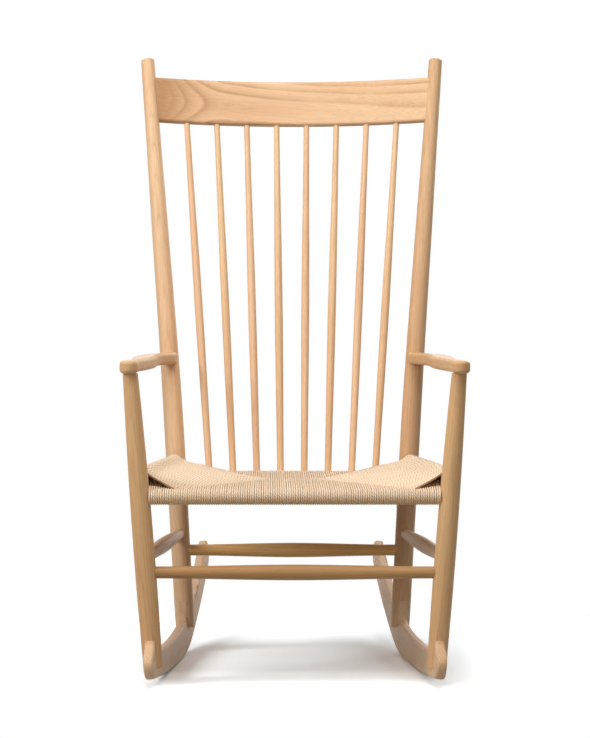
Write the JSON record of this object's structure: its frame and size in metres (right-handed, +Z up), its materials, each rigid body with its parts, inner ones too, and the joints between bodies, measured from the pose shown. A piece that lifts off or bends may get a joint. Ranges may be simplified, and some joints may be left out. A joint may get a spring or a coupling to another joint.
{
  "type": "rocking chair",
  "caption": "High-backed wooden rocking armchair with turned posts and stretchers, sawn rockers in forked posts, a spindle back under a bowed crest rail and a woven paper-cord seat.",
  "frame": {"origin": "on the floor, on the chair's mid-plane, halfway between the rockers' noses and tails", "axes": "+X to the right as seen from in front of the chair, +Y from the front of the chair to its back, +Z up"},
  "size_m": [0.6, 0.9221, 1.1211],
  "materials": {
    "wood": "pale ring-porous wood, soaped or oiled, matt",
    "paper_cord": "twisted three-ply paper cord, unbleached"
  },
  "bodies": {
    "root": {"rocker_right": "wood", "rocker_left": "wood", "front_post_right": "wood", "front_post_left": "wood", "back_post_right": "wood", "back_post_left": "wood", "arm_right": "wood", "arm_left": "wood", "side_rail_right": "wood", "side_rail_left": "wood", "side_stretcher_right": "wood", "side_stretcher_left": "wood", "crest_rail": "wood", "front_rail": "wood", "back_rail": "wood", "front_stretcher": "wood", "rear_stretcher": "wood", "spindle_1": "wood", "spindle_2": "wood", "spindle_3": "wood", "spindle_4": "wood", "spindle_5": "wood", "spindle_6": "wood", "spindle_7": "wood", "spindle_8": "wood", "seat_weave": "paper_cord"}
  },
  "joints": []
}
